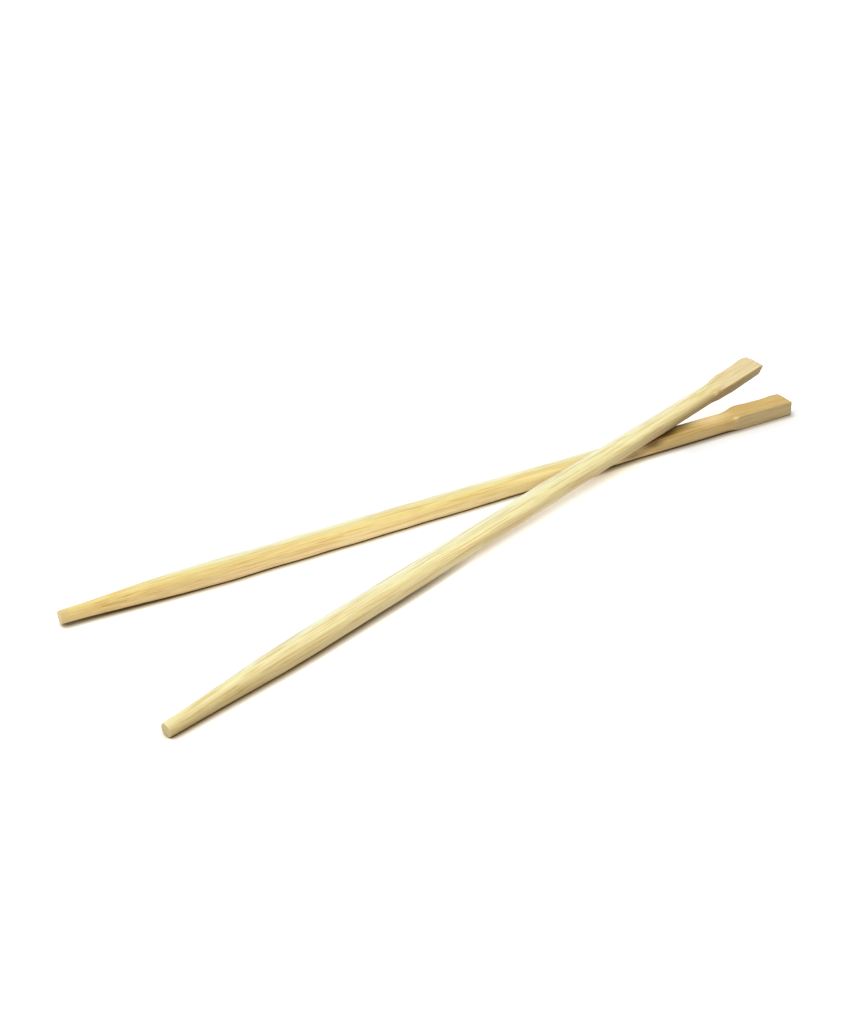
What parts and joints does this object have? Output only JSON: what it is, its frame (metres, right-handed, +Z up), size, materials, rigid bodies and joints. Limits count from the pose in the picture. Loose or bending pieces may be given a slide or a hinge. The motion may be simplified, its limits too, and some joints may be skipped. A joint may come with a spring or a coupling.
{
  "type": "pair of bamboo chopsticks",
  "caption": "Pair of slim bamboo eating sticks lying crossed: each has a square-edged head, a milled body with rounded corners and a tapered tip.",
  "frame": {"origin": "centre of the pair's bounding box at its lowest face, which is the surface that it lies on", "axes": "+X along the lower stick from its tip to its head, +Y towards its far side, +Z up"},
  "size_m": [0.23, 0.0658, 0.0121],
  "materials": {
    "golden_bamboo": "bare planed bamboo, golden, satin where the fibres are pressed",
    "pale_bamboo": "bare planed bamboo, pale, with fine darker fibre lines"
  },
  "bodies": {
    "root": {"lower_chopstick": "golden_bamboo", "upper_chopstick": "pale_bamboo"}
  },
  "joints": []
}
